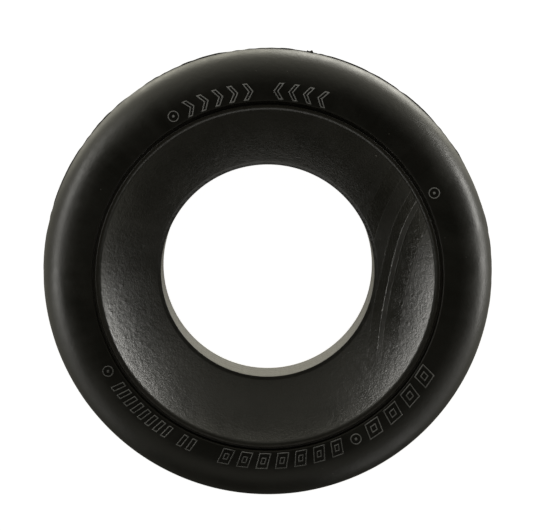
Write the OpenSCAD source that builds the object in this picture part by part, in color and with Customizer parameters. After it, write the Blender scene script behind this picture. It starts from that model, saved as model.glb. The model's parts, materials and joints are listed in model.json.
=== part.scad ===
// Round wheel stop: a heavy rubber ring that lies flat on the ground. The small wheel of a trailer jack
// sits in its dished seat and cannot roll away. The ring has one rounded section, a round hole through
// the middle, and raised marks on its crown.
//
// The origin is on the ground, on the ring's axis. +Z is up. Every length is in millimetres.
// Every round part is one section turned about the Z axis, so each section below is drawn as [radius, height].

/* [Outer ring] */
// Diameter of the ring where it is widest
ring_d = 241.3; // [240:0.1:256]
// Height of the crown's highest circle above the ground
ring_h = 64; // [58:0.5:72]
// Radius of the round shoulder between the crown and the side
shoulder_r = 21; // [18:0.5:25]
// Radius of the shallow arch across the crown
crown_r = 60; // [50:5:150]
// Distance from the axis to the crown's highest circle
crown_mid_r = 96; // [95:0.5:96]
// Inward lean of the side below the shoulder, in degrees
side_draft = 3; // [1:0.5:6]
// Radius of the edge that meets the ground
ground_edge_r = 3; // [1:0.5:5]
// Radius of the small round where the crown meets the seat
inner_edge_r = 0.8; // [0.6:0.1:1.5]

/* [Wheel seat] */
// Diameter of the seat's lip
lip_d = 180.6; // [178:0.1:181]
// Height of the lip above the ground
lip_h = 63.4; // [58:0.1:63.5]
// Radius of the round between the lip and the dish
lip_round = 3; // [1.5:0.5:4]
// Width of the rim outside the lip
rim_w = 1.2; // [1:0.1:1.4]
// Width of the groove between the rim and the crown
groove_w = 1.8; // [1:0.1:2]
// Depth of the groove below the lip
groove_depth = 2; // [1:0.1:3]
// Radius of the dish, which is part of a sphere
dish_r = 105; // [104:1:125]
// Diameter of the hole through the middle
hole_d = 115.6; // [104:0.1:120]
// Width of the flat land between the dish and the hole
foot_land = 0.8; // [0.4:0.1:1.5]

/* [Mould flash] */
// How far the parting line's fin stands out of the side
flash_w = 0.6; // [0.3:0.1:1]
// Thickness of the fin
flash_t = 0.8; // [0.4:0.1:1.2]
// How far the cut stub of the gate stands out of the side
gate_w = 1.5; // [0.8:0.1:2]
// Direction of the gate's middle, in degrees from +X
gate_angle = 75.5; // [60:0.5:85]
// Length of the gate round the side, in degrees
gate_span = 9; // [4:0.5:14]

/* [Raised marks] */
// Height of the marks above the crown
mark_h = 0.5; // [0.3:0.1:1]
// Distance from the axis to the middle of the marks
mark_r = 98.8; // [98.5:0.1:99.2]
// Height of a chevron, across the crown
chevron_l = 9; // [7:0.2:9]
// Width of a raised line of the chevrons
chevron_line = 0.7; // [0.4:0.05:0.9]
// Height of a slanted block
block_l = 8.6; // [7:0.2:9]
// Width of a raised line of the blocks, bars and round marks
block_line = 0.55; // [0.4:0.05:0.7]
// Height of a slim bar
bar_l = 7.2; // [5:0.2:8]
// Diameter of a round mark
round_d = 6; // [5:0.2:7]

/* [Hidden] */
$fn = 96;

ring_r = ring_d / 2;
hole_r = hole_d / 2;
lip_r = lip_d / 2;
rim_r = lip_r + rim_w;
rim_bevel = rim_w / 2;
seam_r = rim_r + groove_w;      // where the seat ends and the outer ring begins

// The crown's arch and the round shoulder touch inside each other, which sets the shoulder's height.
crown_c = [crown_mid_r, ring_h - crown_r];
shoulder_c = [ring_r - shoulder_r,
              crown_c.y + sqrt(pow(crown_r - shoulder_r, 2) - pow(ring_r - shoulder_r - crown_mid_r, 2))];
shoulder_top = crown_c + crown_r * unit(shoulder_c - crown_c);
side_dir = [cos(side_draft), -sin(side_draft)];
shoulder_low = shoulder_c + shoulder_r * side_dir;
ground_edge_c = [shoulder_low.x
                 - (ground_edge_r + sin(side_draft) * (shoulder_low.y - ground_edge_r)) / cos(side_draft),
                 ground_edge_r];
inner_edge_c = [seam_r + inner_edge_r,
                crown_c.y + sqrt(pow(crown_r - inner_edge_r, 2) - pow(seam_r + inner_edge_r - crown_mid_r, 2))];
inner_edge_top = crown_c + crown_r * unit(inner_edge_c - crown_c);

// The lip's round touches the dish from outside, which sets the height of the dish's centre.
lip_c = [lip_r, lip_h - lip_round];
dish_c = [0, lip_c.y + sqrt(pow(dish_r + lip_round, 2) - pow(lip_r, 2))];
dish_top = dish_c + dish_r * unit(lip_c - dish_c);
foot_r = hole_r + foot_land;
foot_h = dish_c.y - sqrt(pow(dish_r, 2) - pow(foot_r, 2));

// Each row of marks: [direction of its first mark, direction of its last mark, number of marks].
// Directions are in degrees from +X, against the clock.
chevrons_left = [114.6, 96, 5];
chevrons_right = [86.6, 73, 4];
blocks_wide = [-32.4, -55, 4];
blocks_narrow = [-68, -103, 7];
bars_short = [-114.4, -117.4, 2];
bars_long = [-123, -143.6, 8];
round_marks_at = [120.2, 27, -61.5, -149.4];

clearance = 1;                  // how far a cutting shape runs past what it cuts
weld = 0.002;                   // tucks an edge under the arc beside it, so that the two cross cleanly

function unit(v) = v / norm(v);
function row_angle(row, i) = row[0] + (row[1] - row[0]) * i / (row[2] - 1);
// Moves every side of an outline inwards by w. The outline runs against the clock.
function inset(pts, w) =
    let (n = len(pts))
    [for (i = [0 : n - 1])
        let (u = unit(pts[i] - pts[(i + n - 1) % n]),
             v = unit(pts[(i + 1) % n] - pts[i]),
             a = [-u.y, u.x],
             b = [-v.y, v.x])
        pts[i] + w * (a + b) / (1 + a * b)];

// ---- Sections ----

// The slice of a circle about c that rounds a corner from the point p of its edge to the point q.
// The slice starts behind the centre, so that it overlaps the shape whose corner it rounds.
module round_slice(c, r, p, q) {
    middle = p + q - 2 * c;
    start = c - middle / 16;
    intersection() {
        translate(c) circle(r);
        polygon([start, start + 2 * (p - c), start + 2 * middle, start + 2 * (q - c)]);
    }
}

// Everything below the crown's arch, raised by h.
module under_crown(h = 0) {
    translate(crown_c) circle(crown_r - weld + h);
}

// The ring above its widest height: the arched crown and the round shoulder, both raised by h.
module upper_section(h) {
    intersection() {
        under_crown(h);
        polygon([
            [seam_r, shoulder_c.y],
            shoulder_c,
            shoulder_top + (clearance + h) * unit(shoulder_top - crown_c),
            [seam_r, ring_h + h + clearance]
        ]);
    }
    intersection() {
        round_slice(shoulder_c, shoulder_r + h, shoulder_low, shoulder_top);
        translate([seam_r, shoulder_c.y]) square(shoulder_c);
    }
}

module ring_section() {
    intersection() {
        under_crown();
        polygon([
            [seam_r, 0],
            [ground_edge_c.x, 0],
            ground_edge_c,
            ground_edge_c + (ground_edge_r - weld) * side_dir,
            shoulder_low - weld * side_dir,
            shoulder_c,
            shoulder_top + clearance * unit(shoulder_top - crown_c),
            inner_edge_top + clearance * unit(inner_edge_top - crown_c),
            inner_edge_c,
            [seam_r, inner_edge_c.y]
        ]);
    }
    round_slice(shoulder_c, shoulder_r, shoulder_low, shoulder_top);
    round_slice(ground_edge_c, ground_edge_r, [ground_edge_c.x, 0], ground_edge_c + ground_edge_r * side_dir);
    round_slice(inner_edge_c, inner_edge_r, inner_edge_top, [seam_r, inner_edge_c.y]);
}

module seat_section() {
    difference() {
        polygon([
            [hole_r, 0],
            [seam_r, 0],
            [seam_r, lip_h - groove_depth],
            [rim_r, lip_h - groove_depth],
            [rim_r, lip_h - rim_bevel],
            [rim_r - rim_bevel, lip_h],
            [lip_r, lip_h],
            lip_c,
            dish_top + clearance * unit(dish_c - lip_c),
            [hole_r, foot_h]
        ]);
        translate(dish_c) circle(dish_r + weld);
    }
    round_slice(lip_c, lip_round, [lip_r, lip_h], dish_top);
    // The land stays where the dish would cut the hole's top edge away.
    translate([hole_r, 0]) square([foot_land + clearance, foot_h]);
}

// A tapered fin at the ring's widest height, w proud and t thick at its root.
module fin_outline(w, t) {
    tip = 0.4;
    polygon([
        [ring_r - clearance, shoulder_c.y - t / 2],
        [ring_r + w, shoulder_c.y - t / 2 * tip],
        [ring_r + w, shoulder_c.y + t / 2 * tip],
        [ring_r - clearance, shoulder_c.y + t / 2]
    ]);
}

module fin_section() {
    difference() {
        fin_outline(flash_w, flash_t);
        ring_section();
    }
}

module stub_section() {
    difference() {
        fin_outline(gate_w, flash_t * 2.4);
        fin_outline(flash_w, flash_t);
        ring_section();
    }
}

// ---- Raised marks ----

// Raises a flat pattern to mark_h above the crown and the shoulder.
module on_crown() {
    intersection() {
        translate([0, 0, shoulder_c.y]) linear_extrude(ring_h) children();
        rotate_extrude() difference() {
            upper_section(mark_h);
            upper_section(0);
        }
    }
}

// Places a small pattern in the row's i-th place. The pattern's +Y points away from the axis.
module at_mark(angle) {
    rotate(angle) translate([mark_r, 0]) rotate(-90) children();
}

module outline(pts, w) {
    difference() {
        polygon(pts);
        polygon(inset(pts, w));
    }
}

// An outlined chevron that points along +X, or along -X where turn is -1.
module chevron(turn) {
    w = chevron_l * 0.64;
    arm = w * 0.48;
    mirror([turn < 0 ? 1 : 0, 0]) outline([
        [-w / 2, -chevron_l / 2],
        [arm - w / 2, -chevron_l / 2],
        [w / 2, 0],
        [arm - w / 2, chevron_l / 2],
        [-w / 2, chevron_l / 2],
        [w / 2 - arm, 0]
    ], chevron_line);
}

function slanted(w, l, lean) = [
    [-w / 2 - lean / 2, -l / 2],
    [w / 2 - lean / 2, -l / 2],
    [w / 2 + lean / 2, l / 2],
    [-w / 2 + lean / 2, l / 2]
];

// A slanted block in outline, with a smaller outline in its middle.
module block(w) {
    lean = block_l * 0.24;
    outline(slanted(w, block_l, lean), block_line);
    outline(slanted(w * 0.42, block_l * 0.42, lean * 0.42), block_line);
}

module bar() {
    outline(slanted(bar_l * 0.4, bar_l, bar_l * 0.2), block_line);
}

module round_mark() {
    difference() {
        circle(d = round_d);
        circle(d = round_d - 2 * block_line);
    }
    circle(d = round_d / 4);
}

// ---- Sub-parts ----

module outer_ring() {
    color("#1b1b1a") rotate_extrude() ring_section();
}

module wheel_seat() {
    color("#2a2a28") rotate_extrude() seat_section();
}

module parting_flash() {
    color("#222220") rotate_extrude() fin_section();
}

// The stub left where the gate was cut off. It wraps a short stretch of the fin.
module gate_stub() {
    color("#242422") rotate(gate_angle - gate_span / 2) rotate_extrude(angle = gate_span) stub_section();
}

module chevron_marks() {
    color("#3a3a38") on_crown() {
        for (i = [0 : chevrons_left[2] - 1]) at_mark(row_angle(chevrons_left, i)) chevron(1);
        for (i = [0 : chevrons_right[2] - 1]) at_mark(row_angle(chevrons_right, i)) chevron(-1);
    }
}

module block_marks() {
    color("#3a3a38") on_crown() {
        for (i = [0 : blocks_wide[2] - 1]) at_mark(row_angle(blocks_wide, i)) block(block_l * 0.98);
        for (i = [0 : blocks_narrow[2] - 1]) at_mark(row_angle(blocks_narrow, i)) block(block_l * 0.74);
    }
}

module bar_marks() {
    color("#3a3a38") on_crown()
        for (row = [bars_short, bars_long])
            for (i = [0 : row[2] - 1]) at_mark(row_angle(row, i)) bar();
}

module round_marks() {
    color("#3a3a38") on_crown()
        for (angle = round_marks_at) at_mark(angle) round_mark();
}

outer_ring();
wheel_seat();
parting_flash();
gate_stub();
chevron_marks();
block_marks();
bar_marks();
round_marks();
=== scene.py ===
# %% [markdown]
# # A round rubber wheel stop
#
# This stop is one heavy moulding of black rubber. It lies flat on the ground, and the small wheel of a
# trailer jack is set down in its dished seat. The CAD model holds its sizes. Here it gets the things
# that a moulding press leaves behind: soft edges, flow lines, grain, pits, a ragged fin and some dust.
#
# The frame comes first. Every length below is either read from it or is a named size in metres.

# %% Load the frame
import json
import math
import random

import bmesh
import bpy
from mathutils import Matrix, Vector, noise


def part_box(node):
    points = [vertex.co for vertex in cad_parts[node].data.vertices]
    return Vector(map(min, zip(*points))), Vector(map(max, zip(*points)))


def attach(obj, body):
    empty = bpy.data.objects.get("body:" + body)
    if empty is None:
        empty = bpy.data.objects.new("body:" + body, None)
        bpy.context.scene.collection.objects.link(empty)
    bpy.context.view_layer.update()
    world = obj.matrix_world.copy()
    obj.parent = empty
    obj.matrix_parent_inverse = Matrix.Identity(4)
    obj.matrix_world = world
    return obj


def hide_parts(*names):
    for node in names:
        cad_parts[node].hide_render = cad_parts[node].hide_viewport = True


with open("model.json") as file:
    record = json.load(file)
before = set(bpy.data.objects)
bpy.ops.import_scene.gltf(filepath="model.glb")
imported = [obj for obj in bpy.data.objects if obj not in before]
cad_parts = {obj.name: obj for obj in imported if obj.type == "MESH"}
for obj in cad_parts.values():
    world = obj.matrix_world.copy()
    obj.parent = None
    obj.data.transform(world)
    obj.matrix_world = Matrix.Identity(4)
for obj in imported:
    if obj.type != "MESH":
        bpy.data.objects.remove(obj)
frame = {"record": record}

MM = 0.001
scene = bpy.context.scene
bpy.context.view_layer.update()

# %% [markdown]
# ## Camera
#
# The stop is seen from almost straight above. The camera stands about 1.4 m up its axis and leans a few
# degrees towards +Y, so a sliver of the hole's near wall shows. A long lens keeps the circles round.

# %% Camera
CAMERA_DISTANCE = 1.395
CAMERA_LEAN = math.radians(6.04)
CAMERA_TARGET = Vector((-0.00065, 0.00275, 0.030))
SENSOR_WIDTH = 36
LENS = 173.34

camera_data = bpy.data.cameras.new("camera")
camera_data.sensor_fit = "HORIZONTAL"
camera_data.sensor_width = SENSOR_WIDTH
camera_data.lens = LENS
camera_data.clip_start = 0.01
camera = bpy.data.objects.new("camera", camera_data)
scene.collection.objects.link(camera)
camera_axis = Vector((0, math.sin(CAMERA_LEAN), math.cos(CAMERA_LEAN)))
camera.location = CAMERA_TARGET + CAMERA_DISTANCE * camera_axis
camera.rotation_euler = (-CAMERA_LEAN, 0, 0)
scene.camera = camera
scene.view_settings.view_transform = "Standard"
print("camera at", [round(value, 3) for value in camera.location])

# %% [markdown]
# ## Sizes
#
# The frame says how wide and how high each CAD piece is. The few radii of the section that a box can't
# tell are named here. The crown's arch and the round shoulder touch inside each other, and the lip's
# round touches the dish from outside, so their centres follow from the radii by Pythagoras. The lip's
# round is tighter here than in the CAD model, which narrows its bright line. It also lets the dish sit
# about half a millimetre lower than the CAD's, and makes the land at its foot a millimetre wider.

# %% Sizes of the section
ring_low, ring_high = (Vector(corner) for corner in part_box("outer_ring"))
seat_low, seat_high = (Vector(corner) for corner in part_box("wheel_seat"))
mark_high = Vector(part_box("chevron_marks")[1])
bore = next(mount for mount in frame["record"]["mounts"] if mount["name"] == "centre_hole")

RING_R = (ring_high.x - ring_low.x) / 2
RING_H = ring_high.z
SEAM_R = (seat_high.x - seat_low.x) / 2
LIP_H = seat_high.z
HOLE_R = bore["dims"]["r_mm"] * MM
FOOT_H = bore["dims"]["length_mm"] * MM
MARK_H = mark_high.z - RING_H

SHOULDER_R = 21 * MM
CROWN_R = 60 * MM
CROWN_MID_R = 96 * MM
GROUND_EDGE_R = 3 * MM
INNER_EDGE_R = 0.8 * MM
SIDE_DRAFT = math.radians(3)
RIM_W = 1.2 * MM
GROOVE_W = 1.8 * MM
GROOVE_DEPTH = 2 * MM
LIP_ROUND = 2.2 * MM
DISH_R = 105 * MM
FOOT_EDGE_R = 0.35 * MM


def leg(hypotenuse, other):
    return math.sqrt(hypotenuse ** 2 - other ** 2)


crown_x, crown_z = CROWN_MID_R, RING_H - CROWN_R
shoulder_x = RING_R - SHOULDER_R
shoulder_z = crown_z + leg(CROWN_R - SHOULDER_R, shoulder_x - crown_x)
inner_edge_x = SEAM_R + INNER_EDGE_R
inner_edge_z = crown_z + leg(CROWN_R - INNER_EDGE_R, inner_edge_x - crown_x)
rim_x = SEAM_R - GROOVE_W
lip_x, lip_z = rim_x - RIM_W, LIP_H - LIP_ROUND
dish_z = lip_z + leg(DISH_R + LIP_ROUND, lip_x)
foot_x = leg(DISH_R, dish_z - FOOT_H)


def crown_height(radius):
    """Height of the crown and the shoulder at a distance from the axis."""
    if radius < shoulder_join_r:
        return crown_z + leg(CROWN_R, radius - crown_x)
    return shoulder_z + leg(SHOULDER_R, min(radius - shoulder_x, SHOULDER_R))


shoulder_join_r = crown_x + (shoulder_x - crown_x) * CROWN_R / (CROWN_R - SHOULDER_R)
print("widest at %.1f mm, dish from r %.1f mm" % (shoulder_z / MM, foot_x / MM))

# %% [markdown]
# ## Turning a section
#
# Every round part of the stop is one section turned about the axis. A section could be typed in as a long
# list of points, but a maker thinks in straight stretches and rounds. So a pen draws it: a straight
# stretch extrudes the last vertex, and a round stretch spins it about the round's centre. The finished
# outline is then spun about the Z axis. Each step of a spin searches the whole mesh, so a full turn in
# fine steps is slow: an eighth is spun, then copied and turned three times over, and the seams merged.

# %% The section pen
STEPS_PER_EIGHTH = 90
EIGHTH = math.tau / 8


class SectionPen:
    """Draws a section in the XZ plane. Angles are in degrees from +X towards +Z."""

    def __init__(self, bm, x, z):
        self.bm = bm
        self.tip = bm.verts.new((x, 0, z))

    def line_to(self, x, z, steps=1):
        start = self.tip.co.copy()
        for step in range(1, steps + 1):
            made = bmesh.ops.extrude_vert_indiv(self.bm, verts=[self.tip])
            self.tip = made["verts"][0]
            self.tip.co = start.lerp(Vector((x, 0, z)), step / steps)

    def arc_to(self, centre_x, centre_z, end_angle, steps):
        arm = self.tip.co - Vector((centre_x, 0, centre_z))
        turn = math.radians(end_angle) - math.atan2(arm.z, arm.x)
        turn = (turn + math.pi) % math.tau - math.pi
        made = bmesh.ops.spin(self.bm, geom=[self.tip], cent=(centre_x, 0, centre_z), axis=(0, -1, 0),
                              angle=turn, steps=steps)
        self.tip = next(part for part in made["geom_last"] if isinstance(part, bmesh.types.BMVert))


def turn_section(bm):
    """Turns the drawn outline into a closed, outward-facing body."""
    bmesh.ops.remove_doubles(bm, verts=bm.verts, dist=1e-7)
    bmesh.ops.spin(bm, geom=bm.verts[:] + bm.edges[:], cent=(0, 0, 0), axis=(0, 0, 1),
                   angle=EIGHTH, steps=STEPS_PER_EIGHTH)
    for eighths in (1, 2, 4):
        copied = bmesh.ops.duplicate(bm, geom=bm.verts[:] + bm.edges[:] + bm.faces[:])["geom"]
        turned = [part for part in copied if isinstance(part, bmesh.types.BMVert)]
        turn = Matrix.Rotation(eighths * EIGHTH, 3, "Z")
        bmesh.ops.rotate(bm, verts=turned, cent=(0, 0, 0), matrix=turn)
    bmesh.ops.remove_doubles(bm, verts=bm.verts, dist=1e-6)
    bmesh.ops.recalc_face_normals(bm, faces=bm.faces)


pieces = []


def finish_piece(bm, name, material, slot, *nodes, smooth=True):
    """Turns a bmesh into a piece that rides on the one body and stands for its CAD nodes."""
    mesh = bpy.data.meshes.new(name)
    for face in bm.faces:
        face.smooth = smooth
    bm.to_mesh(mesh)
    bm.free()
    mesh.materials.append(material)
    piece = bpy.data.objects.new(name, mesh)
    scene.collection.objects.link(piece)
    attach(piece, "root")
    if nodes:
        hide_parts(*nodes)
    pieces.append(piece)
    corners = [Vector(corner) for corner in piece.bound_box]
    print("%s: %d faces, up to %.1f mm high" % (name, len(mesh.polygons), max(c.z for c in corners) / MM))
    return piece


def smooth_step(low, high, value):
    share = min(max((value - low) / (high - low), 0), 1)
    return share * share * (3 - 2 * share)


# %% [markdown]
# ## Shader building blocks
#
# Rubber is almost black, so its finish is told by gloss alone: where it is rubbed smooth, where the grain
# breaks the light up, and where dust lies. The same few effects show on every piece, so each is a node
# group that gives out a mask or a height. The shader itself stays in each material.

# %% Node helpers
def add_node(tree, kind, inputs=None, **settings):
    """Adds a node. Inputs that are sockets are linked, and the others are set as values."""
    node = tree.nodes.new(kind)
    for name, value in settings.items():
        setattr(node, name, value)
    for key, value in (inputs or {}).items():
        if isinstance(value, bpy.types.NodeSocket):
            tree.links.new(value, node.inputs[key])
        else:
            node.inputs[key].default_value = value
    return node


def calculate(tree, operation, first, second=0.0, third=0.0, clamp=False):
    inputs = {0: first, 1: second, 2: third}
    return add_node(tree, "ShaderNodeMath", inputs, operation=operation, use_clamp=clamp).outputs[0]


def remap(tree, value, low, high, new_low=0.0, new_high=1.0, kind="SMOOTHSTEP"):
    inputs = {"Value": value, "From Min": low, "From Max": high, "To Min": new_low, "To Max": new_high}
    return add_node(tree, "ShaderNodeMapRange", inputs, interpolation_type=kind).outputs["Result"]


def fine_noise(tree, place, per_metre, detail=2.0, roughness=0.5, distortion=0.0):
    inputs = {"Vector": place, "Scale": per_metre, "Detail": detail, "Roughness": roughness,
              "Distortion": distortion}
    return add_node(tree, "ShaderNodeTexNoise", inputs).outputs["Fac"]


def new_group(name, inputs, outputs):
    """A shader group with float or vector inputs and float outputs."""
    tree = bpy.data.node_groups.new(name, "ShaderNodeTree")
    for label, value in inputs.items():
        kind = "NodeSocketVector" if value is None else "NodeSocketFloat"
        socket = tree.interface.new_socket(label, in_out="INPUT", socket_type=kind)
        if value is not None:
            socket.default_value = value
    for label in outputs:
        tree.interface.new_socket(label, in_out="OUTPUT", socket_type="NodeSocketFloat")
    return tree, tree.nodes.new("NodeGroupInput").outputs, tree.nodes.new("NodeGroupOutput").inputs


def use_group(tree, group, inputs):
    return add_node(tree, "ShaderNodeGroup", inputs, node_tree=group).outputs


# %% [markdown]
# ### Moulded grain
#
# A steel mould is never quite smooth. It prints a fine stipple, about a millimetre across, over a slow
# orange peel of a few millimetres. Two noises make the height, and the bump node stays in the material.

# %% Moulded grain group
STIPPLE_PER_M = 820
PEEL_PER_M = 330

grain_group, given, result = new_group(
    "moulded_grain", {"Place": None, "Stipple": 1.0, "Peel": 1.0}, ["Height"])
stipple = fine_noise(grain_group, given["Place"], STIPPLE_PER_M, 3.0, 0.65)
stipple = calculate(grain_group, "MULTIPLY", stipple, given["Stipple"])
peel = fine_noise(grain_group, given["Place"], PEEL_PER_M, 1.0, 0.4)
peel = calculate(grain_group, "MULTIPLY", peel, given["Peel"])
grain_group.links.new(calculate(grain_group, "ADD", stipple, peel), result["Height"])

# %% [markdown]
# ### Dust and specks
#
# Handling leaves cloudy smudges and a few pale specks. The clouds are a slow noise. The specks are the
# middles of Voronoi cells. Each cell has a random colour: its red decides whether it has a speck at all,
# and its green how large the speck is.

# %% Dust group
CLOUDS_PER_M = 38
SPECK_CELLS_PER_M = 170
BARE_CELLS = 0.74
SPECK_SIZES = (0.012, 0.05)

dust_group, given, result = new_group(
    "rubber_dust", {"Place": None, "Specks": 1.0}, ["Smudge", "Speck"])
cloud = fine_noise(dust_group, given["Place"], CLOUDS_PER_M, 5.0, 0.62, 0.6)
dust_group.links.new(remap(dust_group, cloud, 0.36, 0.68), result["Smudge"])
cells = add_node(dust_group, "ShaderNodeTexVoronoi",
                 {"Vector": given["Place"], "Scale": SPECK_CELLS_PER_M})
cell_pick = add_node(dust_group, "ShaderNodeSeparateColor", {"Color": cells.outputs["Color"]})
kept = calculate(dust_group, "GREATER_THAN", cell_pick.outputs["Red"], BARE_CELLS)
size = remap(dust_group, cell_pick.outputs["Green"], 0.0, 1.0, *SPECK_SIZES, "LINEAR")
dot = calculate(dust_group, "LESS_THAN", cells.outputs["Distance"], size)
speck = calculate(dust_group, "MULTIPLY", dot, kept)
speck = calculate(dust_group, "MULTIPLY", speck, given["Specks"])
dust_group.links.new(speck, result["Speck"])

# %% [markdown]
# ### Flow lines
#
# The rubber was pressed in as a slab and folded over itself as it filled the mould. Where the folds met
# they left long thin lines that cross the dish in wide parallel curves. They are rings about a point far
# outside the stop, bent a little by noise. A wave would space them evenly, which folds never are, so a
# colour ramp with listed peaks makes them. Each peak has its own strength. Between two lines the
# fold has its own gloss, and everything fades out away from the right side.

# %% Flow line group
FLOW_CENTRE = (0.400, -0.080, 0.0)
FLOW_NEAR, FLOW_FAR = 0.318, 0.372
FLOW_LINES = ((0.13, 0.2), (0.28, 0.25), (0.42, 0.55), (0.465, 1.0), (0.555, 0.7), (0.69, 0.5),
              (0.83, 0.2))
FLOW_HALF_WIDTH = 0.007
BENDS_PER_M = 13
BEND = 0.007
ACROSS_FADE = (0.030, 0.055)
ALONG_FADE = (-0.062, -0.022)

flow_group, given, result = new_group("flow_lines", {"Place": None}, ["Line", "Fold"])
flat_place = add_node(flow_group, "ShaderNodeVectorMath", {0: given["Place"], 1: (1, 1, 0)},
                      operation="MULTIPLY")
bend = fine_noise(flow_group, flat_place.outputs[0], BENDS_PER_M, 1.0)
bend = calculate(flow_group, "MULTIPLY_ADD", bend, BEND, -BEND / 2)
reach = add_node(flow_group, "ShaderNodeVectorMath", {0: flat_place.outputs[0], 1: FLOW_CENTRE},
                 operation="DISTANCE")
across = remap(flow_group, calculate(flow_group, "ADD", reach.outputs["Value"], bend),
               FLOW_NEAR, FLOW_FAR, kind="LINEAR")


def ramp(tree, value, stops, interpolation="LINEAR"):
    """A colour ramp of grey stops, given as (place, brightness)."""
    node = add_node(tree, "ShaderNodeValToRGB", {"Fac": value})
    node.color_ramp.interpolation = interpolation
    elements = node.color_ramp.elements
    while len(elements) < len(stops):
        elements.new(0.5)
    for element, (place, _) in zip(elements, stops):
        element.position = place
    for element, (_, grey) in zip(elements, stops):
        element.color = (grey, grey, grey, 1)
    return node.outputs["Color"]


line_stops = []
for line, strength in FLOW_LINES:
    line_stops += [(line - FLOW_HALF_WIDTH, 0), (line, strength), (line + FLOW_HALF_WIDTH, 0)]
fold_stops = [(line, 0.2 + 0.6 * (number % 2)) for number, (line, _) in enumerate(FLOW_LINES)]
split_place = add_node(flow_group, "ShaderNodeSeparateXYZ", {0: given["Place"]}).outputs
side_fade = remap(flow_group, split_place["X"], *ACROSS_FADE)
front_fade = remap(flow_group, split_place["Y"], *ALONG_FADE)
line = calculate(flow_group, "MULTIPLY", ramp(flow_group, across, line_stops), side_fade)
flow_group.links.new(calculate(flow_group, "MULTIPLY", line, front_fade), result["Line"])
fold = calculate(flow_group, "MULTIPLY", ramp(flow_group, across, fold_stops, "CONSTANT"), side_fade)
flow_group.links.new(calculate(flow_group, "MULTIPLY", fold, front_fade), result["Fold"])
print("flow lines:", len(FLOW_LINES))

# %% [markdown]
# ### Turned steel
#
# The core pin that forms the hole was turned on a lathe, and so was the dish. The pin leaves fine rings
# down the hole's wall, and those rings are painted paler too, a painted reflection of the bright floor.
# The dish shows faint streaks that run outwards, left by the flowing rubber. Rings depend on the height
# only and streaks on the direction only, so each noise gets just that part of the place. The group also
# marks the groove outside the lip, a band about one radius, which the material makes into painted shade:
# there it cuts the gloss and sets a flat colour.

# %% Turned steel group
RINGS_PER_M = 210
STREAKS_PER_RADIAN = 26
RING_SQUASH = (0.004, 0.004, 1)
GROOVE_FADE = (2.4 * MM, 1.5 * MM)

turned_group, given, result = new_group(
    "turned_steel", {"Place": None, "Hole": 1.0, "Middle": 1.0}, ["Wall", "Rings", "Streaks", "GrooveShade"])
height_only = add_node(turned_group, "ShaderNodeVectorMath", {0: given["Place"], 1: RING_SQUASH},
                       operation="MULTIPLY").outputs[0]
around = add_node(turned_group, "ShaderNodeVectorMath", {0: given["Place"], 1: (1, 1, 0)},
                  operation="MULTIPLY")
axis_distance = add_node(turned_group, "ShaderNodeVectorMath", {0: around.outputs[0]}, operation="LENGTH")
towards = add_node(turned_group, "ShaderNodeVectorMath", {0: around.outputs[0]}, operation="NORMALIZE")
inside = calculate(turned_group, "SUBTRACT", given["Hole"], axis_distance.outputs["Value"])
turned_group.links.new(remap(turned_group, inside, -0.25 * MM, -0.1 * MM), result["Wall"])
rings = fine_noise(turned_group, height_only, RINGS_PER_M, 3.0, 0.75)
turned_group.links.new(remap(turned_group, rings, 0.40, 0.62), result["Rings"])
from_middle = calculate(turned_group, "SUBTRACT", axis_distance.outputs["Value"], given["Middle"])
from_middle = calculate(turned_group, "ABSOLUTE", from_middle)
# This band is where the material paints shade into the groove beside the lip.
turned_group.links.new(remap(turned_group, from_middle, *GROOVE_FADE), result["GrooveShade"])
streaks = fine_noise(turned_group, towards.outputs[0], STREAKS_PER_RADIAN, 3.0, 0.65)
turned_group.links.new(streaks, result["Streaks"])

# %% [markdown]
# ## Rubber materials
#
# One function makes each rubber, because they differ only in how black, how glossy and how grainy they
# are. Smudges lift the colour a little and kill the gloss. Specks are pale dots of dust. The black is a
# warm one, so its blue is the lowest of the three.

# %% Rubber materials
DUST_COLOUR = (0.26, 0.25, 0.23)
LINE_GLINT_COLOUR = (0.045, 0.044, 0.041)
WALL_REFLECTION_COLOUR = (0.110, 0.103, 0.085)
GROOVE_SHADE_COLOUR = (0.016, 0.015, 0.012)
GROOVE_MIDDLE = SEAM_R - 1.5 * MM
GROOVE_SHADE_SHINE = 0.10
PLAIN_SHINE = 0.5
FOLD_GLOSS = 0.13
LINE_GLINT_SHARE = 0.30
RING_BUMP = 1.5
RING_DULLNESS = 0.30
STREAK_DULLNESS = 0.20
BUMP_DEPTH = 0.1 * MM


def blend_colours(tree, share, first, second):
    """Mixes two colours, each a socket or a plain colour."""
    node = tree.nodes.new("ShaderNodeMix")
    node.data_type = "RGBA"
    share_in, first_in, second_in = node.inputs[0], node.inputs[6], node.inputs[7]
    tree.links.new(share, share_in)
    for socket, value in ((first_in, first), (second_in, second)):
        if isinstance(value, bpy.types.NodeSocket):
            tree.links.new(value, socket)
        else:
            socket.default_value = (*value, 1)
    return node.outputs[2]


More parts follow.
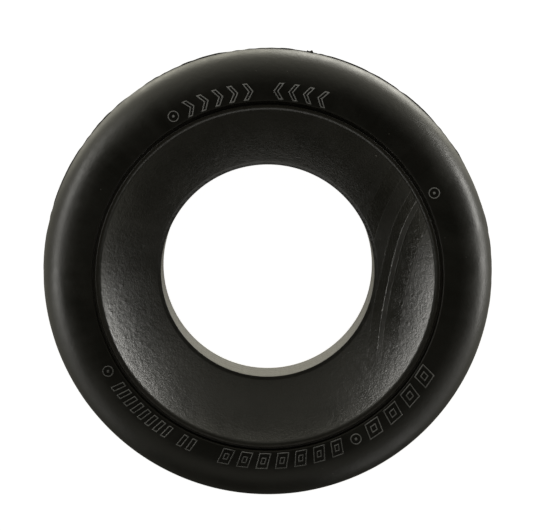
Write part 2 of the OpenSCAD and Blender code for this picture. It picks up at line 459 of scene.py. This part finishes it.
def make_rubber(name, black, smudged, gloss, rough, stipple, peel, specks=1.0, flow=0.0, turned=False):
    """black and smudged are base colours; gloss and rough are the smoothest and the roughest patches."""
    material = bpy.data.materials.new(name)
    material.use_nodes = True
    tree = material.node_tree
    shader = tree.nodes["Principled BSDF"]
    shader.inputs["IOR"].default_value = 1.5
    place = add_node(tree, "ShaderNodeTexCoord").outputs["Object"]
    dust = use_group(tree, dust_group, {"Place": place, "Specks": specks})
    height = use_group(tree, grain_group, {"Place": place, "Stipple": stipple, "Peel": peel})["Height"]
    roughness = remap(tree, dust["Smudge"], 0, 1, gloss, rough, "LINEAR")
    if flow:
        folds = use_group(tree, flow_group, {"Place": place})
        height = calculate(tree, "MULTIPLY_ADD", folds["Line"], flow, height)
        roughness = calculate(tree, "MULTIPLY_ADD", folds["Fold"], -FOLD_GLOSS, roughness)
    colour = blend_colours(tree, dust["Smudge"], black, smudged)
    if flow:
        # Along the flow lines the colour is painted paler as a painted glint, on top of the lines' real
        # bump and gloss.
        line_glint = calculate(tree, "MULTIPLY", folds["Line"], LINE_GLINT_SHARE)
        colour = blend_colours(tree, line_glint, colour, LINE_GLINT_COLOUR)
    if turned:
        marks = use_group(tree, turned_group, {"Place": place, "Hole": HOLE_R, "Middle": GROOVE_MIDDLE})
        rings = calculate(tree, "MULTIPLY", marks["Rings"], marks["Wall"])
        height = calculate(tree, "MULTIPLY_ADD", rings, RING_BUMP, height)
        roughness = calculate(tree, "MULTIPLY_ADD", rings, RING_DULLNESS, roughness)
        roughness = calculate(tree, "MULTIPLY_ADD", marks["Streaks"], STREAK_DULLNESS, roughness)
        roughness = calculate(tree, "SUBTRACT", roughness, STREAK_DULLNESS / 2)
        # The rings on the hole's wall are painted paler: a painted reflection of the bright floor.
        colour = blend_colours(tree, rings, colour, WALL_REFLECTION_COLOUR)
        # Painted shade in the groove: its gloss is cut and its colour is set to a flat dark grey.
        colour = blend_colours(tree, marks["GrooveShade"], colour, GROOVE_SHADE_COLOUR)
        shine = remap(tree, marks["GrooveShade"], 0, 1, PLAIN_SHINE, GROOVE_SHADE_SHINE, "LINEAR")
        tree.links.new(shine, shader.inputs["Specular IOR Level"])
    colour = blend_colours(tree, dust["Speck"], colour, DUST_COLOUR)
    relief = add_node(tree, "ShaderNodeBump", {"Height": height, "Strength": 1.0, "Distance": BUMP_DEPTH})
    tree.links.new(colour, shader.inputs["Base Color"])
    tree.links.new(roughness, shader.inputs["Roughness"])
    tree.links.new(relief.outputs["Normal"], shader.inputs["Normal"])
    return material


ring_rubber = make_rubber("ring_finish", black=(0.0034, 0.0031, 0.0014), smudged=(0.0058, 0.0054, 0.0030),
                          gloss=0.34, rough=0.44, stipple=0.5, peel=0.8, specks=0.5, turned=True)
seat_rubber = make_rubber("seat_finish", black=(0.0044, 0.0041, 0.0024), smudged=(0.0082, 0.0078, 0.0054),
                          gloss=0.33, rough=0.38, stipple=1.8, peel=1.4, flow=1.0, turned=True)
# The marks get a base far paler than the ring's black: a painted highlight for the glints on their ridges.
mark_rubber = make_rubber("mark_painted_sheen", black=(0.045, 0.045, 0.042), smudged=(0.090, 0.090, 0.085),
                          gloss=0.26, rough=0.38, stipple=0.2, peel=0.2, specks=0.5)
flash_rubber = make_rubber("flash_finish", black=(0.006, 0.006, 0.0055), smudged=(0.014, 0.014, 0.013),
                           gloss=0.50, rough=0.70, stipple=0.8, peel=0.5)
print("rubbers:", [material.name for material in (ring_rubber, seat_rubber, mark_rubber, flash_rubber)])

# %% [markdown]
# ## Outer ring
#
# The body is a flat base, a small edge on the ground, a drafted side, the big round shoulder, the shallow
# crown and a small round that drops into the groove beside the seat. Once turned, it gets the slow
# waviness of a thick rubber moulding. The waves only push inwards, so the ring keeps its size.

# %% Outer ring
def sway(bm, depth, per_metre, seed):
    """Presses the surface in by slow noise, and leaves the base flat."""
    bm.normal_update()
    shift = Vector((seed, seed, seed))
    for vert in bm.verts:
        lift = smooth_step(0, 6 * MM, vert.co.z)
        wave = noise.noise(vert.co * per_metre + shift)
        wave += 0.5 * noise.noise(vert.co * per_metre * 2.7 - shift)
        vert.co -= vert.normal * lift * depth * (0.5 + wave / 3)


bm = bmesh.new()
side_end_x = shoulder_x + SHOULDER_R * math.cos(SIDE_DRAFT)
side_end_z = shoulder_z - SHOULDER_R * math.sin(SIDE_DRAFT)
side_rise = side_end_z - GROUND_EDGE_R
ground_edge_x = side_end_x - (GROUND_EDGE_R + math.sin(SIDE_DRAFT) * side_rise) / math.cos(SIDE_DRAFT)
join_angle = math.degrees(math.atan2(shoulder_z - crown_z, shoulder_x - crown_x))
inner_angle = math.degrees(math.atan2(inner_edge_z - crown_z, inner_edge_x - crown_x))

pen = SectionPen(bm, SEAM_R, 0)
pen.line_to(ground_edge_x, 0, steps=3)
pen.arc_to(ground_edge_x, GROUND_EDGE_R, -math.degrees(SIDE_DRAFT), steps=6)
pen.line_to(side_end_x, side_end_z, steps=9)
pen.arc_to(shoulder_x, shoulder_z, join_angle, steps=40)
pen.arc_to(crown_x, crown_z, inner_angle, steps=10)
pen.arc_to(inner_edge_x, inner_edge_z, 180, steps=6)
pen.line_to(SEAM_R, LIP_H - GROOVE_DEPTH)
pen.line_to(SEAM_R, 0)
turn_section(bm)
sway(bm, depth=0.12 * MM, per_metre=34, seed=3.1)
finish_piece(bm, "ring_body", ring_rubber, "ring_rubber", "outer_ring")

# %% [markdown]
# ## Wheel seat
#
# The seat's lip is a round that runs from the groove over into the dish. The dish is part of a sphere,
# because a wheel of any tilt has to bed down in it. Below it a narrow land meets the hole, whose wall
# carries the turning marks of the mould's core pin. Air trapped under the rubber left shallow pits, which
# are pressed into the mesh: a pit is a shape, and a bump alone wouldn't show at its rim.

# %% Wheel seat
def press_pits(bm, pits):
    """Presses dimples into the dish: (direction in degrees, distance from the axis, radius, depth)."""
    low = FOOT_H + 0.2 * MM
    dish = [vert for vert in bm.verts if vert.co.z > low and vert.co.to_2d().length < lip_x]
    for angle, distance, radius, depth in pits:
        middle = Matrix.Rotation(math.radians(angle), 3, "Z") @ Vector((distance, 0, 0))
        for vert in dish:
            away = (vert.co.to_2d() - middle.to_2d()).length / radius
            if away < 1:
                vert.co.z -= depth * (1 - smooth_step(0.25, 1, away))


bm = bmesh.new()
rim_round = RIM_W / 2
pen = SectionPen(bm, HOLE_R, 0)
pen.line_to(SEAM_R, 0, steps=4)
pen.line_to(SEAM_R, LIP_H - GROOVE_DEPTH)
pen.line_to(rim_x, LIP_H - GROOVE_DEPTH, steps=2)
pen.line_to(rim_x, LIP_H - rim_round, steps=2)
pen.arc_to(rim_x - rim_round, LIP_H - rim_round, 90, steps=4)
pen.line_to(lip_x, LIP_H)
pen.arc_to(lip_x, lip_z, 180 - math.degrees(math.atan2(dish_z - lip_z, lip_x)), steps=8)
pen.arc_to(0, dish_z, -math.degrees(math.atan2(dish_z - FOOT_H, foot_x)), steps=72)
pen.line_to(HOLE_R + FOOT_EDGE_R, FOOT_H)
pen.arc_to(HOLE_R + FOOT_EDGE_R, FOOT_H - FOOT_EDGE_R, 180, steps=3)
pen.line_to(HOLE_R, 0, steps=22)
turn_section(bm)
sway(bm, depth=0.10 * MM, per_metre=40, seed=8.4)
draw = random.Random(5)
NUB = (168.4, 69 * MM, 1.0 * MM, -0.22 * MM)
pits = [(draw.uniform(184, 216), draw.uniform(76, 86) * MM, draw.uniform(0.7, 1.1) * MM,
         draw.uniform(0.10, 0.25) * MM) for _ in range(12)]
pits += [(draw.uniform(0, 360), draw.uniform(62, 86) * MM, draw.uniform(0.6, 1.0) * MM,
          draw.uniform(-0.10, 0.15) * MM) for _ in range(26)]
press_pits(bm, pits + [NUB])
seat_body = finish_piece(bm, "seat_body", seat_rubber, "seat_rubber", "wheel_seat")
print("dish slope at foot and lip, degrees: %.1f %.1f" % (
    math.degrees(math.asin(foot_x / DISH_R)), math.degrees(math.asin(lip_x / (DISH_R + LIP_ROUND)))))

# %% [markdown]
# ## Parting fin and gate
#
# Rubber creeps between the mould's halves and is trimmed off by hand, so the fin at the widest circle is
# never even: it comes and goes in width. The gate, where the rubber was let in, was cut with a knife and
# leaves a rough stub: tall where the rubber tore at the end of the cut, and low along the rest. Both are
# turned like the ring, and noise then nibbles at their outer edge.

# %% Parting fin and gate stub
flash_low, flash_high = (Vector(corner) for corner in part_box("parting_flash"))
gate_low, gate_high = (Vector(corner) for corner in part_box("gate_stub"))
FIN_R = (flash_high.x - flash_low.x) / 2
FIN_HALF = (flash_high.z - flash_low.z) / 2
STUB_HALF = (gate_high.z - gate_low.z) / 2
STUB_W = 1.5 * MM
STUB_MIDDLE = math.radians(75.5)
STUB_SPAN = math.radians(9)
ROOT_DEPTH = 1 * MM
TIP_SHARE = 0.4
TEAR_START = math.radians(78.3)
TEAR_END = math.radians(78.8)
TRIMMED_SHARE = 0.22


def draw_fin(bm, reach, half):
    """A tapered fin's outline, from inside the ring out to its tip and back."""
    pen = SectionPen(bm, RING_R - ROOT_DEPTH, shoulder_z - half)
    pen.line_to(reach, shoulder_z - half * TIP_SHARE, steps=3)
    pen.line_to(reach, shoulder_z + half * TIP_SHARE)
    pen.line_to(RING_R - ROOT_DEPTH, shoulder_z + half, steps=3)
    pen.line_to(RING_R - ROOT_DEPTH, shoulder_z - half)


def nibble(bm, root_r, per_metre, least):
    """Pulls the outer edge in by noise, to between all of its reach and the least share of it."""
    for vert in bm.verts:
        radius = vert.co.to_2d().length
        if radius > root_r:
            bite = noise.noise(vert.co * per_metre) + 0.5 * noise.noise(vert.co * per_metre * 4)
            trimmed = smooth_step(0.75 * RING_R, -0.25 * RING_R, vert.co.y)
            keep = least + (1 - least) * smooth_step(-0.6, 0.3, bite) * (1 - 0.8 * trimmed)
            scale = (root_r + (radius - root_r) * keep) / radius
            vert.co.x *= scale
            vert.co.y *= scale


bm = bmesh.new()
draw_fin(bm, FIN_R, FIN_HALF)
turn_section(bm)
nibble(bm, RING_R - 0.1 * MM, per_metre=60, least=0.15)
finish_piece(bm, "parting_fin", flash_rubber, "flash_rubber", "parting_flash")

bm = bmesh.new()
draw_fin(bm, RING_R + STUB_W, STUB_HALF)
bmesh.ops.remove_doubles(bm, verts=bm.verts, dist=1e-7)
stub_start = Matrix.Rotation(STUB_MIDDLE - STUB_SPAN / 2, 3, "Z")
bmesh.ops.rotate(bm, verts=bm.verts, cent=(0, 0, 0), matrix=stub_start)
bmesh.ops.contextual_create(bm, geom=bm.edges[:])
bmesh.ops.spin(bm, geom=bm.faces[:] + bm.edges[:] + bm.verts[:], cent=(0, 0, 0), axis=(0, 0, 1),
               angle=STUB_SPAN, steps=60)
bmesh.ops.recalc_face_normals(bm, faces=bm.faces)
nibble(bm, RING_R, per_metre=260, least=0.15)
for vert in bm.verts:
    radius = vert.co.to_2d().length
    if radius > RING_R:
        tall = smooth_step(TEAR_START, TEAR_END, math.atan2(vert.co.y, vert.co.x))
        share = TRIMMED_SHARE + (1 - TRIMMED_SHARE) * tall
        scale = (RING_R + (radius - RING_R) * share) / radius
        vert.co.x *= scale
        vert.co.y *= scale
finish_piece(bm, "gate_cut", flash_rubber, "flash_rubber", "gate_stub", smooth=False)

# %% [markdown]
# ## Raised marks
#
# Rows of raised marks stand on the crown. Each is a thin ridge round a small outline. On a flat bench the
# outline is one face: insetting it and taking the middle away leaves the ridge's foot, extruding lifts
# it, and a bevel rounds its top, as a cutter in the mould does. Cuts across it let it bend, and it is
# then laid on the crown, half a millimetre proud.

# %% Marks
MARK_R = 98.8 * MM
SUNK = 0.3 * MM
BEND_EVERY = 1 * MM
ROUNDED_SHARE = 0.36
CHEVRON_L, CHEVRON_LINE = 9 * MM, 0.7 * MM
BLOCK_L, BLOCK_LINE = 8.6 * MM, 0.55 * MM
BAR_L = 7.2 * MM
ROUND_R = 3 * MM


def slanted(width, length, lean):
    half_w, half_l, half_lean = width / 2, length / 2, lean / 2
    return [(-half_w - half_lean, -half_l), (half_w - half_lean, -half_l),
            (half_w + half_lean, half_l), (half_lean - half_w, half_l)]


def chevron(turn):
    half_w, half_l = 0.32 * CHEVRON_L, CHEVRON_L / 2
    arm = 0.96 * half_w
    corners = [(-half_w, -half_l), (arm - half_w, -half_l), (half_w, 0),
               (arm - half_w, half_l), (-half_w, half_l), (half_w - arm, 0)]
    return [(turn * x, y) for x, y in corners]


def raise_ridge(bm, face, line):
    """Makes a flat face into a raised outline of that line width, or a raised pad if line is None."""
    face.normal_update()
    foot = [face]
    if line:
        foot = bmesh.ops.inset_region(bm, faces=[face], thickness=line,
                                       use_boundary=True, use_even_offset=True)["faces"]
        bmesh.ops.delete(bm, geom=[face], context="FACES_ONLY")
    lifted = bmesh.ops.extrude_face_region(bm, geom=foot, use_keep_orig=True)["geom"]
    top = [part for part in lifted if isinstance(part, bmesh.types.BMVert)]
    bmesh.ops.translate(bm, verts=top, vec=(0, 0, SUNK + MARK_H))
    top_faces = {part for part in lifted if isinstance(part, bmesh.types.BMFace)}
    brink = [edge for edge in bm.edges
             if len(top_faces.intersection(edge.link_faces)) == 1
             and edge.verts[0] in top and edge.verts[1] in top]
    bmesh.ops.bevel(bm, geom=brink, offset=(line or BLOCK_LINE) * ROUNDED_SHARE, offset_type="OFFSET",
                    segments=3, profile=0.5, affect="EDGES", material=-1, clamp_overlap=True)


def lay_on_crown(bm, angle, target):
    """Cuts the mark across so that it can bend, and lays it on the crown at a direction in degrees."""
    reach = max(vert.co.y for vert in bm.verts)
    cut_at = math.ceil(-reach / BEND_EVERY) * BEND_EVERY
    while cut_at < reach:
        bmesh.ops.bisect_plane(bm, geom=bm.verts[:] + bm.edges[:] + bm.faces[:], dist=1e-7,
                               plane_co=(0, cut_at, 0), plane_no=(0, 1, 0))
        cut_at += BEND_EVERY
    bmesh.ops.recalc_face_normals(bm, faces=bm.faces)
    turn = Matrix.Rotation(math.radians(angle), 3, "Z")
    for vert in bm.verts:
        place = turn @ Vector((MARK_R + vert.co.y, -vert.co.x, 0))
        place.z = crown_height(place.to_2d().length) + vert.co.z - SUNK
        vert.co = place
    bench = bpy.data.meshes.new("bench")
    bm.to_mesh(bench)
    bm.free()
    target.from_mesh(bench)
    bpy.data.meshes.remove(bench)


def outline_mark(target, angle, *outlines):
    bm = bmesh.new()
    for points, line in outlines:
        raise_ridge(bm, bm.faces.new([bm.verts.new((x, y, 0)) for x, y in points]), line)
    lay_on_crown(bm, angle, target)


def row(first, last, count):
    return [first + (last - first) * number / (count - 1) for number in range(count)]


def block(width):
    lean = 0.24 * BLOCK_L
    core = 0.42
    return ((slanted(width, BLOCK_L, lean), BLOCK_LINE),
            (slanted(core * width, core * BLOCK_L, core * lean), BLOCK_LINE))


chevrons = bmesh.new()
for angle in row(114.6, 96, 5):
    outline_mark(chevrons, angle, (chevron(1), CHEVRON_LINE))
for angle in row(86.6, 73, 4):
    outline_mark(chevrons, angle, (chevron(-1), CHEVRON_LINE))
finish_piece(chevrons, "raised_chevrons", mark_rubber, "mark_rubber", "chevron_marks")

blocks = bmesh.new()
for angle in row(-32.4, -55, 4):
    outline_mark(blocks, angle, *block(0.98 * BLOCK_L))
for angle in row(-68, -103, 7):
    outline_mark(blocks, angle, *block(0.74 * BLOCK_L))
finish_piece(blocks, "raised_blocks", mark_rubber, "mark_rubber", "block_marks")

bars = bmesh.new()
for angle in row(-114.4, -117.4, 2) + row(-123, -143.6, 8):
    outline_mark(bars, angle, (slanted(0.4 * BAR_L, BAR_L, 0.2 * BAR_L), BLOCK_LINE))
finish_piece(bars, "raised_bars", mark_rubber, "mark_rubber", "bar_marks")

rounds = bmesh.new()
for angle in (120.2, 27, -61.5, -149.4):
    bm = bmesh.new()
    for radius, line in ((ROUND_R, BLOCK_LINE), (ROUND_R / 4, None)):
        made = bmesh.ops.create_circle(bm, cap_ends=True, radius=radius, segments=40)
        raise_ridge(bm, made["verts"][0].link_faces[0], line)
    lay_on_crown(bm, angle, rounds)
finish_piece(rounds, "raised_rounds", mark_rubber, "mark_rubber", "round_marks")

# %% [markdown]
# ## Floor and light
#
# The stop lies on a plain pale floor that is lit until it is almost pure white. Black rubber shows only
# what it mirrors, so the light is a tent round it, dim overhead, with softboxes on the right and on the
# left. The floor is kept out of the mirror image: the tent goes on below it, and its wall towards -Y is
# the darkest.

# %% Floor
FLOOR_HALF = 4
FLOOR_DROP = 0.1 * MM
FLOOR_GLOW = 0.94

bm = bmesh.new()
bmesh.ops.create_grid(bm, x_segments=1, y_segments=1, size=FLOOR_HALF)
bmesh.ops.translate(bm, verts=bm.verts, vec=(0, 0, -FLOOR_DROP))
floor_mesh = bpy.data.meshes.new("floor")
bm.to_mesh(floor_mesh)
bm.free()
floor_paint = bpy.data.materials.new("floor_paint")
floor_paint.use_nodes = True
floor_shader = floor_paint.node_tree.nodes["Principled BSDF"]
floor_shader.inputs["Base Color"].default_value = (0.8, 0.8, 0.8, 1)
floor_shader.inputs["Roughness"].default_value = 0.9
floor_shader.inputs["Specular IOR Level"].default_value = 0
floor_shader.inputs["Emission Color"].default_value = (1, 1, 1, 1)
floor_shader.inputs["Emission Strength"].default_value = FLOOR_GLOW
floor_mesh.materials.append(floor_paint)
floor = bpy.data.objects.new("floor", floor_mesh)
scene.collection.objects.link(floor)
floor.visible_glossy = False
floor.visible_diffuse = False
floor.visible_shadow = False

# %% [markdown]
# ### The light tent
#
# The tent is the world's own colour. Three ramps give its brightness from straight down to straight up:
# one for the wall towards +Y, one for the two sides and one for the wall towards -Y. The direction's own
# y then blends them, and a warm tint is laid over them. The camera sees a plain white backdrop instead.

# %% Light tent
TENT_LIGHT = 2.0
TENT_TINT = (1.0, 0.97, 0.82)
BACK_WALL = ((0.0, 0.24), (0.05, 0.45), (0.10, 1.45), (0.18, 1.10), (0.25, 0.70), (0.33, 0.48),
             (0.50, 0.45), (0.59, 0.40), (0.67, 0.30), (0.75, 0.21), (0.82, 0.14), (0.88, 0.09),
             (0.93, 0.06), (1.0, 0.03))
SIDE_WALLS = ((0.0, 0.15), (0.12, 0.17), (0.25, 0.22), (0.33, 0.22), (0.50, 0.15), (0.59, 0.10),
              (0.67, 0.085), (0.75, 0.075), (0.82, 0.065), (0.88, 0.05), (0.93, 0.035), (1.0, 0.02))
FRONT_WALL = ((0.0, 0.015), (0.18, 0.03), (0.33, 0.03), (0.50, 0.035), (0.59, 0.06), (0.67, 0.12),
              (0.75, 0.15), (0.82, 0.17), (0.88, 0.14), (0.93, 0.06), (1.0, 0.025))

world = bpy.data.worlds.new("light_tent")
scene.world = world
world.use_nodes = True
tent = world.node_tree
direction = add_node(tent, "ShaderNodeTexCoord").outputs["Generated"]
level = add_node(tent, "ShaderNodeVectorMath", {0: direction, 1: (1, 1, 0)},
                 operation="MULTIPLY").outputs[0]
level = add_node(tent, "ShaderNodeVectorMath", {0: level}, operation="NORMALIZE").outputs[0]
towards_back = add_node(tent, "ShaderNodeSeparateXYZ", {0: level}).outputs["Y"]
upward = add_node(tent, "ShaderNodeSeparateXYZ", {0: direction}).outputs["Z"]
upward = remap(tent, upward, -1, 1, kind="LINEAR")
walls = {name: ramp(tent, upward, stops) for name, stops in
         (("back", BACK_WALL), ("side", SIDE_WALLS), ("front", FRONT_WALL))}
brightness = blend_colours(tent, remap(tent, towards_back, 0.1, 0.8), walls["side"], walls["back"])
brightness = blend_colours(tent, remap(tent, towards_back, -0.25, -0.95), brightness, walls["front"])
tent_shader = tent.nodes["Background"]
tinted = add_node(tent, "ShaderNodeVectorMath", {0: brightness, 1: TENT_TINT},
                  operation="MULTIPLY").outputs[0]
tent.links.new(tinted, tent_shader.inputs["Color"])
tent_shader.inputs["Strength"].default_value = TENT_LIGHT
backdrop = add_node(tent, "ShaderNodeBackground", {"Color": (1, 1, 1, 1), "Strength": 1.0})
seen = add_node(tent, "ShaderNodeLightPath").outputs["Is Camera Ray"]
chosen = add_node(tent, "ShaderNodeMixShader",
                  {0: seen, 1: tent_shader.outputs[0], 2: backdrop.outputs[0]})
tent.links.new(chosen.outputs[0], tent.nodes["World Output"].inputs["Surface"])

# %% [markdown]
# ### Softboxes
#
# Three kinds of softbox stand round the stop, and light linking keeps each to one group of pieces, as a
# photographer's flags would. Those of the body sit about level with it and draw the bright lines on its
# shoulder. One above the marks picks out their ridges, and two in front light the lip and the near dish.
# The other three of the dish are a trick no real studio has. Seen from above, the steep dish near the lip
# mirrors what lies below the horizon, where the ring and the floor are in the way. A blocker group with
# only the floor in it lets their light through the ring, and the floor casts no shadow. From other angles
# the same light makes a brighter crescent low in the dish.
#
# A softbox's numbers are its azimuth, elevation, width and height in degrees, then its radiance.

# %% Softboxes
def light_group(name, pieces):
    group = bpy.data.collections.new(name)
    for piece in pieces:
        group.objects.link(piece)
    return group


body_pieces = light_group("lit_as_body", [piece for piece in pieces if piece != seat_body])
dish_pieces = light_group("lit_as_dish", [seat_body])
mark_pieces = light_group("lit_as_marks", [piece for piece in pieces if piece.name.startswith("raised")])
no_blockers = light_group("blocks_nothing", [floor])


def softbox(name, group, azimuth, elevation, width, height, radiance, unblocked=False):
    """A rectangular light that faces the stop. Its place and size are in degrees as the stop sees them."""
    light = bpy.data.lights.new(name, "AREA")
    light.shape = "RECTANGLE"
    light.size = 2 * SOFTBOX_DISTANCE * math.tan(math.radians(width / 2))
    light.size_y = 2 * SOFTBOX_DISTANCE * math.tan(math.radians(height / 2))
    light.energy = radiance * math.pi * light.size * light.size_y
    light.color = SOFTBOX_TINT
    box = bpy.data.objects.new(name, light)
    scene.collection.objects.link(box)
    flat = math.cos(math.radians(elevation))
    away = Vector((flat * math.cos(math.radians(azimuth)), flat * math.sin(math.radians(azimuth)),
                   math.sin(math.radians(elevation))))
    box.location = Vector((0, 0, LIP_H)) + SOFTBOX_DISTANCE * away
    box.rotation_euler = away.to_track_quat("Z", "Y").to_euler()
    box.visible_camera = False
    box.light_linking.receiver_collection = group
    if unblocked:
        box.light_linking.blocker_collection = no_blockers


SOFTBOX_DISTANCE = 0.9
SOFTBOX_TINT = (1.0, 0.985, 0.94)
softbox("body_right", body_pieces, 10, -9, 48, 9, 13.0)
softbox("body_left", body_pieces, 171, 6, 58, 14, 5.2)
softbox("body_right_fill", body_pieces, 318, 0, 56, 36, 0.7)
softbox("body_left_fill", body_pieces, 210, 0, 44, 36, 0.5)
softbox("body_low_back", body_pieces, 62, -42, 34, 26, 2.6)
softbox("dish_right", dish_pieces, 21, -29, 36, 18, 15.0, unblocked=True)
softbox("dish_left", dish_pieces, 163, -29, 46, 18, 10.5, unblocked=True)
softbox("dish_back", dish_pieces, 90, -20, 80, 20, 0.3, unblocked=True)
softbox("dish_front", dish_pieces, 265, 27, 60, 12, 1.4)
softbox("lip_front", dish_pieces, 262, 56, 90, 22, 1.5)
softbox("marks_above", mark_pieces, 90, 66, 50, 40, 2.0)
